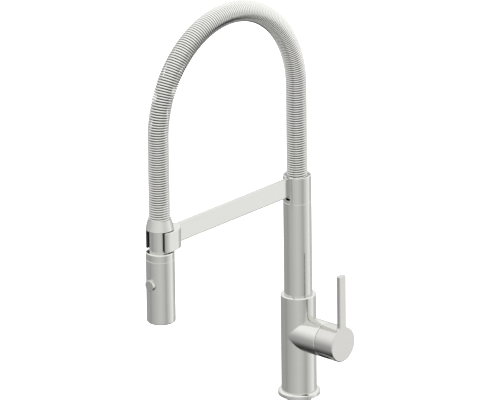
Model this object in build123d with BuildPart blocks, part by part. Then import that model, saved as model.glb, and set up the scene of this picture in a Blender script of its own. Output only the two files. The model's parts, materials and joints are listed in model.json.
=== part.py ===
"""Kitchen mixer tap with a sprung arch and a docked spray, as separate pieces.

Frame: +Z up, origin on the counter at the middle of the base, spray towards -Y, lever towards +X.
All lengths are in millimetres.
"""
import math
import os

from build123d import *

# ---------------------------------------------------------------- fits and clearances
running_gap = 0.06        # radial, between pieces that turn or slide on each other
fixed_gap = 0.05          # radial, between pieces that are screwed or pushed together
soft_gap = 0.03           # radial, between a squeezed seal and the bore that it wipes
seam_break = 0.35         # small chamfer on each side of a visible seam
edge_break = 0.5          # small chamfer on free edges
hexagon_sides = 6

# ---------------------------------------------------------------- overall layout
reach = 237.0             # from the column axis to the spray axis
arch_spring_line = 382.8  # height at which the arch leaves the vertical
arm_bottom = 249.8
arm_height = 24.1

# ---------------------------------------------------------------- base and mounting
flange_radius = 25.0
flange_height = 6.3
flange_edge_height = 4.0
gasket_inner_radius = 18.5
gasket_width = 3.6
gasket_depth = 1.6
shank_radius = 14.0
shank_bore_radius = 12.0
shank_length = 60.0       # below the counter
shank_engagement = 20.0   # screwed into the body
shank_chamfer = 1.0
counter_thickness = 30.0  # the slab that the mounting is drawn clamping
deck_washer_radius = 24.0
deck_washer_thickness = 3.0
clamp_washer_radius = 23.0
clamp_washer_thickness = 1.6
washer_clearance = 0.3
nut_across_flats = 38.0
nut_height = 11.0
clamp_screw_radius = 2.5
clamp_screw_circle = 17.4
clamp_screw_stick_out = 7.0
clamp_screw_count = 2
hex_key_share = 0.55      # hexagon socket radius over screw radius
hex_key_depth = 3.0
screw_chamfer_share = 0.2 # end chamfer over screw radius

# ---------------------------------------------------------------- body casting
body_radius = 21.0
body_top = 125.9
body_rim_chamfer = 1.1
port_radius = 5.0         # M10 supply connection
port_depth = 10.0
port_offset = 6.2         # each side of the middle, along Y
channel_radius = 3.0
outlet_channel_radius = 3.5

# ---------------------------------------------------------------- side socket and cartridge, along +X
socket_height = 77.9      # height of the handle axis
socket_end = 41.8         # the seam between socket and handle
cartridge_seat = 14.0
cartridge_radius = 17.5
cartridge_wall = 1.8
cartridge_base_thickness = 4.0
disc_recess = 1.0
fixed_disc_radius = 13.5
fixed_disc_thickness = 3.0
moving_disc_radius = 11.5
moving_disc_thickness = 4.0
disc_gap = 0.05
seat_seal_radius = 4.6
seat_seal_depth = 1.2
inlet_drop = 5.7          # inlet holes below the handle axis
outlet_rise = 6.3         # outlet hole above the handle axis
carrier_radius = 15.5
carrier_neck_radius = 10.5
carrier_start_gap = 0.25
carrier_neck_stick_out = 5.3
housing_end = 33.2
stem_width = 7.0
stem_side_gap = 0.1
stem_slot_half_length = 5.5
stem_rod_radius = 2.6
stem_tip_radius = 2.9
stem_tip_length = 2.0
stem_tip_rounding = 0.65
stem_end = 63.0
tip_clearance = 0.3
disc_slot_depth = 2.8
pivot_x = 34.0            # tilt axis of the stem
pivot_pin_radius = 1.5
pivot_pin_half_length = 9.5
nut_thread_radius = 19.0
retaining_nut_length = 6.3
retaining_nut_bore_radius = 12.0
retaining_nut_slot_width = 4.0
retaining_nut_slot_depth = 2.5
dome_radius = 16.0
dome_wall = 1.5
dome_flange_thickness = 2.0
dome_opening_radius = 9.5

# ---------------------------------------------------------------- handle
handle_gap = 0.3          # visible seam
handle_seam_break = 0.8   # chamfer on each side of that seam
handle_end = 69.2
handle_cavity_radius = 18.0
handle_hub_start = 51.0
tilt_range = 12.0         # degrees, lever pushed outwards
tilt_clearance = 0.2
handle_face_rounding = 1.2
lever_width = 12.0
lever_depth = 6.2
lever_back_radius = 3.6
lever_flare_radius = 4.5
lever_top = 163.2
set_screw_radius = 2.5
set_screw_length = 8.0
set_screw_x = 57.5
plug_radius = 3.2
plug_depth = 4.0

# ---------------------------------------------------------------- column
column_radius = 16.7
column_wall = 2.0
column_top = 241.2        # seam with the arm sleeve
column_seat_wall = 6.8    # metal between the cartridge and the ledge that carries the column
thrust_washer_thickness = 2.0
spigot_stem_radius = 9.0
spigot_stem_length = 17.5
spigot_plug_length = 12.0
spigot_bore_radius = 4.5
seal_groove_width = 2.4
seal_groove_depth = 1.6
seal_slack = 0.1
seal_rounding_share = 0.33 # edge rounding over the ring's thinner side
spigot_seal_count = 2
spigot_seal_pitch = 6.0
spigot_first_seal = 4.5
swivel_bore_floor = 86.2
lock_screw_rise = 8.0      # above the ledge that carries the column
lock_screw_radius = 2.5
lock_screw_tip_radius = 1.3
lock_screw_inset = 0.6
lock_groove_depth = 0.8
lock_groove_slack = 0.1

# ---------------------------------------------------------------- arm sleeve, arm and holder
sleeve_wall = 2.0
sleeve_spigot_length = 10.0
sleeve_spigot_wall = 2.0
sleeve_rim_chamfer = 0.6
relief_width = 6.0        # small opening in the sleeve under the arm
relief_height = 2.8
socket_ring_top_drop = 3.0
socket_ring_floor = 2.0
socket_ring_hole_radius = 9.0
arm_thickness = 4.0
arm_edge_radius = 1.4
holder_radius = 16.7      # round front and round back of the holder
holder_back_centre = 11.1 # middle of the round back, behind the spray axis
holder_front = 7.4        # flat tips, ahead of the spray axis
holder_wall = 2.4
arm_tenon_start = 20.0    # end of the arm inside the holder, behind the spray axis
holder_edge_chamfer = 0.6
liner_radius = 12.5       # inside of the plastic liner
liner_inset = 0.4         # liner edges below the holder's top and bottom
arm_screw_radius = 1.25
arm_screw_head_radius = 2.2
arm_screw_head_height = 1.2
arm_screw_length = 10.0
arm_screw_pitch = 11.0

# ---------------------------------------------------------------- arch: spring and hose
spring_radius = 12.45     # outside of the coil
spring_wire = 2.5
spring_pitch = 2.865
hose_radius = 7.5
hose_bore_radius = 5.0
nipple_thread_radius = 6.0
nipple_thread_length = 10.0
nipple_collar_radius = 8.4
nipple_collar_height = 4.0
nipple_barb_length = 18.0
nipple_bore_radius = 3.4
crimp_wall = 0.8
crimp_length = 17.0

# ---------------------------------------------------------------- ferrule and neck
ferrule_bottom = 274.9
ferrule_radius = 16.4
ferrule_length = 12.9
ferrule_top_radius = 13.4
ferrule_floor_thickness = 3.8
neck_radius = 12.2
neck_stem_play = 0.25     # between the threaded stem and the spring's turns round it
neck_stem_length = 8.3
neck_flange_radius = 13.2
neck_flange_bottom = 241.6
neck_flange_top = 244.8
neck_tail_radius = 7.95
neck_tail_bottom = 226.2
neck_bore_radius = 4.5
neck_seal_height = 228.2

# ---------------------------------------------------------------- spray head
head_radius = 16.7
head_bottom = 162.7
head_top = 248.0
head_seam = 238.7
head_wall = 1.9
head_bottom_rounding = 1.5
collar_rim_chamfer = 1.0
collar_roof_thickness = 3.0
collar_spigot_length = 6.0
collar_cavity_radius = 13.3
head_insert_gap = 0.1
waterway_top_gap = 0.1     # below the collar's spigot
waterway_socket_depth = 8.0
waterway_ring_outer_radius = 13.6
waterway_ring_inner_radius = 9.6
waterway_ring_depth = 6.0
side_channel_radius = 1.6
side_channel_drop = 4.0   # below the button axis
bearing_play = 0.05
check_valve_radius = 6.0
check_valve_length = 9.5
check_valve_bore_radius = 3.0
face_thickness = 4.5
face_inset = 0.9
aerator_radius = 8.6
aerator_wall = 1.0
aerator_hole_radius = 0.75
aerator_hole_pitch = 2.2
aerator_ring_count = 3
aerator_ring_step = 6     # more holes in each ring than in the one inside it
aerator_floor_thickness = 2.0
nozzle_ring_thickness = 2.4
nozzle_circle_radii = (10.5, 12.7)
nozzle_counts = (16, 20)
nozzle_radius = 0.7
nozzle_bore_radius = 0.35
nozzle_stick_out = 0.5

# ---------------------------------------------------------------- diverter button
button_height = 210.5
button_radius = 6.5
button_face = 19.6        # from the spray axis to the button's face
button_cap_depth = 4.4
button_face_chamfer = 0.5
button_travel = 2.0
button_stem_radius = 4.0
button_stem_length = 11.0
button_stop_gap = 0.4
button_seal_width = 1.6
button_seal_depth = 0.9
button_seal_place = 4.0
button_spring_radius = 3.4
button_spring_wire = 0.6
button_spring_length = 9.0

# ---------------------------------------------------------------- worked out from the above
arm_top = arm_bottom + arm_height
arch_radius = reach / 2
body_floor = flange_height
shank_top = body_floor + shank_engagement
column_seat = socket_height + cartridge_radius + column_seat_wall
column_bottom = column_seat + thrust_washer_thickness
lock_screw_height = column_seat + lock_screw_rise
column_bore_radius = column_radius - column_wall
sleeve_bore_radius = column_radius - sleeve_wall
socket_ring_bottom = arm_bottom
spring_start = socket_ring_bottom + socket_ring_floor
holder_slot_radius = holder_radius - holder_wall
holder_back = holder_back_centre + holder_radius
ferrule_floor_top = ferrule_bottom + ferrule_floor_thickness
ferrule_top = ferrule_bottom + ferrule_length
neck_stem_top = ferrule_bottom + neck_stem_length
neck_stem_radius = spring_radius - spring_wire - neck_stem_play
coil_radius = spring_radius - spring_wire / 2
arch_rise = arch_spring_line - spring_start
arch_sweep = math.pi * arch_radius
coil_length = arch_rise + arch_sweep + arch_spring_line - ferrule_floor_top - spring_wire
coil_turns = round(coil_length / spring_pitch)
head_bore_radius = head_radius - head_wall
hose_start = column_bottom + spigot_plug_length + nipple_collar_height
hose_end = neck_stem_top + nipple_collar_height
fixed_disc_start = cartridge_seat + cartridge_base_thickness - disc_recess
moving_disc_start = fixed_disc_start + fixed_disc_thickness + disc_gap
moving_disc_end = moving_disc_start + moving_disc_thickness
carrier_start = moving_disc_end + carrier_start_gap
housing_wall_start = housing_end - cartridge_wall
stem_tip_end = moving_disc_end - tip_clearance
gasket_outer_radius = gasket_inner_radius + gasket_width
nut_thread_start = housing_end
nut_end = nut_thread_start + retaining_nut_length
deck_washer_top = -counter_thickness
clamp_washer_top = deck_washer_top - deck_washer_thickness
mounting_nut_top = clamp_washer_top - clamp_washer_thickness


def head_plane(height):
    """Level plane at a height, centred on the spray axis."""
    return Plane(origin=(0, -reach, height))


def handle_plane(distance):
    """Plane facing +X, centred on the handle axis, its sketch axes along +Y and +Z."""
    return Plane(origin=(distance, 0, socket_height), x_dir=(0, 1, 0), z_dir=(1, 0, 0))


def button_plane(distance):
    """Plane facing -Y, centred on the button axis, at a distance ahead of the spray axis."""
    return Plane(origin=(0, -reach - distance, button_height), x_dir=(1, 0, 0), z_dir=(0, -1, 0))


def annulus(plane, outer_radius, inner_radius=0.0):
    """Flat ring on a plane, or a full disc when it has no inner radius."""
    with BuildSketch(plane) as face:
        Circle(outer_radius)
        if inner_radius:
            Circle(inner_radius, mode=Mode.SUBTRACT)
    return face.sketch


def outline(plane, points):
    """Flat face on a plane, bounded by straight lines through the points."""
    with BuildSketch(plane) as face:
        with BuildLine():
            Polyline(points, close=True)
        make_face()
    return face.sketch


def seal_ring(plane, outer_radius, inner_radius, width):
    """Squeezed O-ring: a ring with its four edges rounded, standing on a plane."""
    with BuildPart() as ring:
        extrude(annulus(plane, outer_radius, inner_radius), amount=width)
        thinner_side = min(width, outer_radius - inner_radius)
        fillet(ring.edges(), radius=thinner_side * seal_rounding_share)
    return ring.part


def socket_screw(plane, radius, length):
    """Grub screw with a hexagon socket, running back from a plane against its normal."""
    with BuildPart() as screw:
        extrude(annulus(plane, radius), amount=-length)
        chamfer(screw.edges(), length=radius * screw_chamfer_share)
        with BuildSketch(plane):
            RegularPolygon(radius * hex_key_share, hexagon_sides)
        extrude(amount=-hex_key_depth, mode=Mode.SUBTRACT)
    return screw.part


def countersunk_screw(plane):
    """Small flat-headed arm screw, its head flush with a plane and its shaft against the normal."""
    with BuildPart() as screw:
        with BuildSketch(plane):
            Circle(arm_screw_head_radius)
        with BuildSketch(plane.offset(-arm_screw_head_height)):
            Circle(arm_screw_radius)
        loft()
        shaft = annulus(plane.offset(-arm_screw_head_height), arm_screw_radius)
        extrude(shaft, amount=-arm_screw_length)
        with BuildSketch(plane):
            RegularPolygon(arm_screw_radius * hex_key_share, hexagon_sides)
        extrude(amount=-arm_screw_head_height, mode=Mode.SUBTRACT)
    return screw.part


def arm_screw_hole(plane):
    """Cutter for one arm screw: its countersink, open towards the head, and its shaft hole."""
    with BuildPart() as hole:
        with BuildSketch(plane):
            Circle(arm_screw_head_radius + fixed_gap)
        with BuildSketch(plane.offset(-arm_screw_head_height)):
            Circle(arm_screw_radius + fixed_gap)
        loft()
        extrude(annulus(plane, arm_screw_head_radius + fixed_gap), amount=arm_screw_head_radius)
        shaft_length = arm_screw_head_height + arm_screw_length + fixed_gap
        extrude(annulus(plane, arm_screw_radius + fixed_gap), amount=-shaft_length)
    return hole.part


def arm_screw_planes(distance, direction):
    """Planes of the two arm screws of one end, facing a direction along Y."""
    middle = (arm_bottom + arm_top) / 2
    planes = []
    for height in (middle - arm_screw_pitch / 2, middle + arm_screw_pitch / 2):
        planes.append(Plane(origin=(0, distance, height), x_dir=(1, 0, 0), z_dir=(0, direction, 0)))
    return planes


def arch_route(start, end):
    """Path up the column axis, over the arch and down the spray axis."""
    with BuildLine() as route:
        Line((0, 0, start), (0, 0, arch_spring_line))
        ThreePointArc(
            (0, 0, arch_spring_line),
            (0, -arch_radius, arch_spring_line + arch_radius),
            (0, -reach, arch_spring_line),
        )
        Line((0, -reach, arch_spring_line), (0, -reach, end))
    return route.wires()[0]


def arch_plane(along):
    """Plane across the arch's centre line, a given length along it from the spring's foot."""
    past_arch = along - arch_rise - arch_sweep
    if along <= arch_rise:
        return Plane.XY.offset(spring_start + along)
    if past_arch >= 0:
        return head_plane(arch_spring_line - past_arch)
    turn = (along - arch_rise) / arch_radius
    origin = (0, arch_radius * (math.cos(turn) - 1), arch_spring_line + arch_radius * math.sin(turn))
    return Plane(origin=origin, x_dir=(1, 0, 0), z_dir=(0, -math.sin(turn), math.cos(turn)))


def coil_planes():
    """Planes across the arch's centre line, one through each turn of the spring."""
    planes = []
    for turn in range(coil_turns):
        planes.append(arch_plane(spring_wire / 2 + coil_length * (turn + 0.5) / coil_turns))
    return planes


def slot_area(plane, half_width):
    """U-shaped area on a plane: round behind the spray axis and straight out to the holder's front."""
    with BuildSketch(plane) as area:
        Circle(half_width)
        with Locations((0, 0)):
            Rectangle(2 * half_width, 2 * half_width, align=(Align.CENTER, Align.MAX), mode=Mode.SUBTRACT)
            Rectangle(2 * half_width, holder_front, align=(Align.CENTER, Align.MAX))
    return area.sketch


def hose_nipple(plane):
    """Turned hose tail: thread below a plane, hexagon collar and barb above it."""
    with BuildPart() as nipple:
        extrude(annulus(plane, nipple_thread_radius), amount=-nipple_thread_length)
        with BuildSketch(plane):
            RegularPolygon(nipple_collar_radius, hexagon_sides)
        extrude(amount=nipple_collar_height)
        barb_plane = plane.offset(nipple_collar_height)
        extrude(annulus(barb_plane, hose_bore_radius - fixed_gap), amount=nipple_barb_length)
        bore_plane = plane.offset(-nipple_thread_length)
        bore_length = nipple_thread_length + nipple_collar_height + nipple_barb_length
        extrude(annulus(bore_plane, nipple_bore_radius), amount=bore_length, mode=Mode.SUBTRACT)
    return nipple.part


# ================================================================ mounting under the counter
with BuildPart() as base_flange:
    flange_bore = shank_radius + washer_clearance
    with BuildSketch(Plane.XZ):
        with BuildLine():
            crown_start = (body_radius + edge_break, flange_height)
            crown_end = (flange_radius, flange_edge_height)
            bore_top = (flange_bore, flange_height)
            Polyline(crown_start, bore_top, (flange_bore, 0), (flange_radius, 0), crown_end)
            TangentArc(crown_start, crown_end, tangent=(1, 0))
        make_face()
    revolve(axis=Axis.Z)
    groove = annulus(Plane.XY, gasket_outer_radius, gasket_inner_radius)
    extrude(groove, amount=gasket_depth, mode=Mode.SUBTRACT)

with BuildPart() as base_gasket:
    extrude(
        annulus(Plane.XY, gasket_outer_radius - fixed_gap, gasket_inner_radius + fixed_gap),
        amount=gasket_depth,
    )

with BuildPart() as mounting_shank:
    shank_face = annulus(Plane.XY.offset(-shank_length), shank_radius, shank_bore_radius)
    extrude(shank_face, amount=shank_length + shank_top)
    foot_circles = mounting_shank.faces().sort_by(Axis.Z)[0].edges()
    chamfer(foot_circles.sort_by(SortBy.RADIUS)[-1], length=shank_chamfer)

with BuildPart() as deck_washer:
    washer_plane = Plane.XY.offset(deck_washer_top)
    washer_bore = shank_radius + washer_clearance
    extrude(annulus(washer_plane, deck_washer_radius, washer_bore), amount=-deck_washer_thickness)

with BuildPart() as clamp_washer:
    washer_plane = Plane.XY.offset(clamp_washer_top)
    washer_bore = shank_radius + washer_clearance
    extrude(annulus(washer_plane, clamp_washer_radius, washer_bore), amount=-clamp_washer_thickness)

with BuildPart() as mounting_nut:
    with BuildSketch(Plane.XY.offset(mounting_nut_top)):
        RegularPolygon(nut_across_flats / 2, hexagon_sides, major_radius=False)
        Circle(shank_radius + fixed_gap, mode=Mode.SUBTRACT)
        with PolarLocations(clamp_screw_circle, clamp_screw_count):
            Circle(clamp_screw_radius + fixed_gap, mode=Mode.SUBTRACT)
    extrude(amount=-nut_height)

with BuildPart() as clamp_screws:
    screw_foot = mounting_nut_top - nut_height - clamp_screw_stick_out
    screw_length = nut_height + clamp_screw_stick_out
    foot_plane = Plane(origin=(0, 0, screw_foot), x_dir=(1, 0, 0), z_dir=(0, 0, -1))
    clamp_screw = socket_screw(foot_plane, clamp_screw_radius, screw_length)
    with PolarLocations(clamp_screw_circle, clamp_screw_count):
        add(clamp_screw)

# ================================================================ body casting
with BuildPart() as body_casting:
    extrude(annulus(Plane.XY.offset(body_floor), body_radius), amount=body_top - body_floor)
    chamfer(body_casting.faces().sort_by(Axis.Z)[-1].edges(), length=body_rim_chamfer)
    extrude(annulus(handle_plane(0), body_radius), amount=socket_end)
    chamfer(body_casting.faces().sort_by(Axis.X)[-1].edges(), length=handle_seam_break)
    # bottom: shank thread, supply ports and their channels
    shank_hole = annulus(Plane.XY.offset(body_floor), shank_radius + fixed_gap)
    extrude(shank_hole, amount=shank_engagement, mode=Mode.SUBTRACT)
    inlet_height = socket_height - inlet_drop
    for side in (-1, 1):
        port_plane = Plane(origin=(0, side * port_offset, shank_top))
        extrude(annulus(port_plane, port_radius), amount=port_depth, mode=Mode.SUBTRACT)
        extrude(annulus(port_plane, channel_radius), amount=inlet_height - shank_top, mode=Mode.SUBTRACT)
        inlet_plane = Plane(origin=(0, side * port_offset, inlet_height), x_dir=(0, 1, 0), z_dir=(1, 0, 0))
        extrude(annulus(inlet_plane, channel_radius), amount=cartridge_seat, mode=Mode.SUBTRACT)
    # side socket: cartridge chamber and the thread of its retaining nut
    extrude(
        annulus(handle_plane(cartridge_seat), cartridge_radius + fixed_gap),
        amount=socket_end - cartridge_seat,
        mode=Mode.SUBTRACT,
    )
    extrude(
        annulus(handle_plane(nut_thread_start), nut_thread_radius + fixed_gap),
        amount=socket_end - nut_thread_start,
        mode=Mode.SUBTRACT,
    )
    # outlet up to the swivel bore, and the bore that the column stands in
    outlet_height = socket_height + outlet_rise
    outlet_plane = Plane(origin=(0, 0, outlet_height), x_dir=(0, 1, 0), z_dir=(1, 0, 0))
    extrude(annulus(outlet_plane, outlet_channel_radius), amount=cartridge_seat, mode=Mode.SUBTRACT)
    rising_channel = annulus(Plane.XY.offset(outlet_height), outlet_channel_radius)
    extrude(rising_channel, amount=swivel_bore_floor - outlet_height, mode=Mode.SUBTRACT)
    swivel_bore = annulus(Plane.XY.offset(swivel_bore_floor), spigot_stem_radius + running_gap)
    extrude(swivel_bore, amount=column_seat - swivel_bore_floor, mode=Mode.SUBTRACT)
    column_hole = annulus(Plane.XY.offset(column_seat), column_radius + running_gap)
    extrude(column_hole, amount=body_top - column_seat, mode=Mode.SUBTRACT)
    # back: threaded hole of the column's lock screw
    lock_plane = Plane(origin=(0, 0, lock_screw_height), x_dir=(1, 0, 0), z_dir=(0, 1, 0))
    extrude(annulus(lock_plane, lock_screw_radius + fixed_gap), amount=body_radius, mode=Mode.SUBTRACT)

with BuildPart() as column_lock_screw:
    screw_head = body_radius - lock_screw_inset
    head_face = Plane(origin=(0, screw_head, lock_screw_height), x_dir=(1, 0, 0), z_dir=(0, 1, 0))
    threaded_length = screw_head - column_radius - running_gap
    add(socket_screw(head_face, lock_screw_radius, threaded_length))
    tip_length = lock_groove_depth + running_gap - lock_groove_slack
    extrude(annulus(head_face.offset(-threaded_length), lock_screw_tip_radius), amount=-tip_length)

with BuildPart() as thrust_washer:
    washer_bore = spigot_stem_radius + running_gap
    extrude(
        annulus(Plane.XY.offset(column_seat), column_radius - fixed_gap, washer_bore),
        amount=thrust_washer_thickness,
    )

# ================================================================ cartridge, along the handle axis
port_places = [(-port_offset, -inlet_drop), (port_offset, -inlet_drop), (0, outlet_rise)]

with BuildPart() as cartridge_base:
    extrude(annulus(handle_plane(cartridge_seat), cartridge_radius), amount=cartridge_base_thickness)
    recess = annulus(handle_plane(fixed_disc_start), fixed_disc_radius + fixed_gap)
    extrude(recess, amount=disc_recess, mode=Mode.SUBTRACT)
    with BuildSketch(handle_plane(cartridge_seat)):
        with Locations(port_places):
            Circle(seat_seal_radius + fixed_gap)
    extrude(amount=seat_seal_depth, mode=Mode.SUBTRACT)
    with BuildSketch(handle_plane(cartridge_seat)):
        with Locations(port_places):
            Circle(channel_radius)
    extrude(amount=cartridge_base_thickness, mode=Mode.SUBTRACT)

with BuildPart() as cartridge_seals:
    port_seal = seal_ring(handle_plane(cartridge_seat), seat_seal_radius, channel_radius, seat_seal_depth)
    for across, up in port_places:
        add(Pos(0, across, up) * port_seal)

with BuildPart() as fixed_disc:
    with BuildSketch(handle_plane(fixed_disc_start)):
        Circle(fixed_disc_radius)
        with Locations(port_places):
            Circle(channel_radius, mode=Mode.SUBTRACT)
    extrude(amount=fixed_disc_thickness)

with BuildPart() as moving_disc:
    extrude(annulus(handle_plane(moving_disc_start), moving_disc_radius), amount=moving_disc_thickness)
    with BuildSketch(handle_plane(moving_disc_end)):
        Circle(stem_tip_radius + tip_clearance)
    extrude(amount=-disc_slot_depth, mode=Mode.SUBTRACT)

with BuildPart() as cartridge_housing:
    housing_start = cartridge_seat + cartridge_base_thickness
    extrude(annulus(handle_plane(housing_start), cartridge_radius), amount=housing_end - housing_start)
    housing_cavity = annulus(handle_plane(housing_start), cartridge_radius - cartridge_wall)
    extrude(housing_cavity, amount=housing_wall_start - housing_start, mode=Mode.SUBTRACT)
    neck_hole = annulus(handle_plane(housing_wall_start), carrier_neck_radius + running_gap)
    extrude(neck_hole, amount=cartridge_wall, mode=Mode.SUBTRACT)

with BuildPart() as stem_carrier:
    carrier_shoulder = housing_wall_start - running_gap
    extrude(annulus(handle_plane(carrier_start), carrier_radius), amount=carrier_shoulder - carrier_start)
    neck_length = housing_end + carrier_neck_stick_out - carrier_shoulder
    extrude(annulus(handle_plane(carrier_shoulder), carrier_neck_radius), amount=neck_length)
    with BuildSketch(handle_plane(carrier_start)):
        Rectangle(stem_width + 2 * stem_side_gap, 2 * stem_slot_half_length)
    extrude(amount=carrier_shoulder - carrier_start + neck_length, mode=Mode.SUBTRACT)
    pin_plane = Plane(origin=(pivot_x, 0, socket_height), x_dir=(1, 0, 0), z_dir=(0, 1, 0))
    pin_seat = annulus(pin_plane, pivot_pin_radius + fixed_gap)
    extrude(pin_seat, amount=carrier_radius, both=True, mode=Mode.SUBTRACT)

with BuildPart() as pivot_pin:
    extrude(annulus(pin_plane, pivot_pin_radius), amount=pivot_pin_half_length, both=True)

with BuildPart() as cartridge_stem:
    with BuildSketch(handle_plane(pivot_x - stem_width / 2)):
        Rectangle(stem_width, stem_width)
    extrude(amount=stem_end - pivot_x + stem_width / 2)
    chamfer(cartridge_stem.faces().sort_by(Axis.X)[-1].edges(), length=edge_break)
    extrude(annulus(handle_plane(stem_tip_end), stem_tip_radius), amount=-stem_tip_length)
    tip_circles = cartridge_stem.edges().filter_by(GeomType.CIRCLE)
    fillet(tip_circles.filter_by_position(Axis.X, 0, stem_tip_end), radius=stem_tip_rounding)
    extrude(annulus(handle_plane(stem_tip_end - edge_break), stem_rod_radius), amount=pivot_x - stem_tip_end)
    pin_hole = annulus(pin_plane, pivot_pin_radius + running_gap)
    extrude(pin_hole, amount=stem_width, both=True, mode=Mode.SUBTRACT)

with BuildPart() as retaining_nut:
    nut_face = annulus(handle_plane(nut_thread_start), nut_thread_radius, retaining_nut_bore_radius)
    extrude(nut_face, amount=retaining_nut_length)
    with BuildSketch(handle_plane(nut_end)):
        Rectangle(2 * nut_thread_radius, retaining_nut_slot_width)
        Rectangle(retaining_nut_slot_width, 2 * nut_thread_radius)
    extrude(amount=-retaining_nut_slot_depth, mode=Mode.SUBTRACT)

with BuildPart() as trim_dome:
    inner_dome_radius = dome_radius - dome_wall
    dome_foot = nut_end - pivot_x
    flange_bore = math.sqrt(inner_dome_radius**2 - dome_foot**2)
    with BuildSketch(Plane(origin=(pivot_x, 0, socket_height), x_dir=(1, 0, 0), z_dir=(0, -1, 0))):
        Circle(dome_radius)
        Circle(inner_dome_radius, mode=Mode.SUBTRACT)
        with Locations((dome_foot, dome_opening_radius)):
            Rectangle(dome_radius, dome_radius, align=(Align.MIN, Align.MIN), mode=Mode.INTERSECT)
        with Locations((dome_foot, flange_bore)):
            flange_width = nut_thread_radius - flange_bore
            Rectangle(dome_flange_thickness, flange_width, align=(Align.MIN, Align.MIN))
    revolve(axis=Axis((0, 0, socket_height), (1, 0, 0)))

# ================================================================ handle
with BuildPart() as handle:
    # lever with a flared root, its flat front level with the end of the cap
    with BuildSketch(handle_plane(handle_end)) as handle_face:
        Circle(body_radius)
        with Locations((0, (lever_top - socket_height) / 2)):
            Rectangle(lever_width, lever_top - socket_height)
        fillet(handle_face.vertices().group_by(Axis.Y)[-2], radius=lever_flare_radius)
    extrude(amount=-lever_depth)
    back_edges = handle.edges().group_by(Axis.X)[0]
    lever_foot = socket_height + body_radius
    lever_back_edges = back_edges.filter_by_position(Axis.Z, lever_foot, lever_top - edge_break)
    fillet(lever_back_edges, radius=lever_back_radius)
    fillet(handle.faces().sort_by(Axis.X)[-1].edges(), radius=handle_face_rounding)
    # cap, hollow towards the socket and solid around the stem
    cap_start = socket_end + handle_gap
    cap_length = handle_end - handle_face_rounding - cap_start
    extrude(annulus(handle_plane(cap_start), body_radius), amount=cap_length)
    chamfer(handle.faces().sort_by(Axis.X)[0].edges(), length=handle_seam_break)
    cavity_depth = handle_hub_start - cap_start
    extrude(annulus(handle_plane(cap_start), handle_cavity_radius), amount=cavity_depth, mode=Mode.SUBTRACT)
    with BuildSketch(handle_plane(handle_hub_start)):
        Rectangle(stem_width + 2 * fixed_gap, stem_width + 2 * fixed_gap)
    extrude(amount=stem_end + edge_break - handle_hub_start, mode=Mode.SUBTRACT)
    # the rim slopes away below, which leaves room for the tilt
    tilt = math.radians(tilt_range)
    rim_offset = (socket_end + tilt_clearance - pivot_x) / math.cos(tilt)
    rim_plane = Plane(
        origin=(pivot_x + rim_offset, 0, socket_height),
        x_dir=(0, 1, 0),
        z_dir=(math.cos(tilt), 0, math.sin(tilt)),
    )
    split(bisect_by=rim_plane, keep=Keep.TOP)
    # underside: hole of the set screw and seat of its plug
    screw_plane = Plane(origin=(set_screw_x, 0, socket_height), x_dir=(1, 0, 0), z_dir=(0, 0, -1))
    extrude(annulus(screw_plane, set_screw_radius + fixed_gap), amount=body_radius, mode=Mode.SUBTRACT)
    plug_end = math.sqrt(body_radius**2 - plug_radius**2)
    plug_seat = annulus(screw_plane.offset(plug_end - plug_depth), plug_radius + fixed_gap)
    extrude(plug_seat, amount=body_radius, mode=Mode.SUBTRACT)

with BuildPart() as handle_set_screw:
    screw_end = stem_width / 2 + fixed_gap + set_screw_length
    add(socket_screw(screw_plane.offset(screw_end), set_screw_radius, set_screw_length))

with BuildPart() as handle_plug:
    extrude(annulus(screw_plane.offset(plug_end - plug_depth), plug_radius), amount=plug_depth)
    chamfer(handle_plug.edges().sort_by(Axis.Z)[0], length=edge_break)

# ================================================================ column
with BuildPart() as swivel_spigot:
    stem_bottom = column_bottom - spigot_stem_length
    extrude(annulus(Plane.XY.offset(stem_bottom), spigot_stem_radius), amount=spigot_stem_length)
    plug_face = annulus(Plane.XY.offset(column_bottom), column_bore_radius - fixed_gap)
    extrude(plug_face, amount=spigot_plug_length)
    spigot_length = spigot_stem_length + spigot_plug_length
    spigot_bore = annulus(Plane.XY.offset(stem_bottom), spigot_bore_radius)
    extrude(spigot_bore, amount=spigot_length, mode=Mode.SUBTRACT)
    thread_plane = Plane.XY.offset(column_bottom + spigot_plug_length)
    thread_hole = annulus(thread_plane, nipple_thread_radius + fixed_gap)
    extrude(thread_hole, amount=-nipple_thread_length, mode=Mode.SUBTRACT)
    spigot_seal_planes = []
    for index in range(spigot_seal_count):
        seal_bottom = stem_bottom + spigot_first_seal + index * spigot_seal_pitch
        spigot_seal_planes.append(Plane.XY.offset(seal_bottom))
    for seal_plane in spigot_seal_planes:
        groove = annulus(seal_plane, spigot_stem_radius, spigot_stem_radius - seal_groove_depth)
        extrude(groove, amount=seal_groove_width, mode=Mode.SUBTRACT)

with BuildPart() as spigot_seals:
    for seal_plane in spigot_seal_planes:
        seal_outer = spigot_stem_radius + running_gap - soft_gap
        seal_inner = spigot_stem_radius - seal_groove_depth + fixed_gap
        seal_width = seal_groove_width - 2 * seal_slack
        add(seal_ring(seal_plane.offset(seal_slack), seal_outer, seal_inner, seal_width))

with BuildPart() as column_tube:
    tube_face = annulus(Plane.XY.offset(column_bottom), column_radius, column_bore_radius)
    extrude(tube_face, amount=column_top - column_bottom)
    top_circles = column_tube.faces().sort_by(Axis.Z)[-1].edges()
    chamfer(top_circles.sort_by(SortBy.RADIUS)[-1], length=seam_break)
    groove_height = 2 * (lock_screw_tip_radius + lock_groove_slack)
    groove_plane = Plane.XY.offset(lock_screw_height - groove_height / 2)
    groove = annulus(groove_plane, column_radius, column_radius - lock_groove_depth)
    extrude(groove, amount=groove_height, mode=Mode.SUBTRACT)

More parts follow.
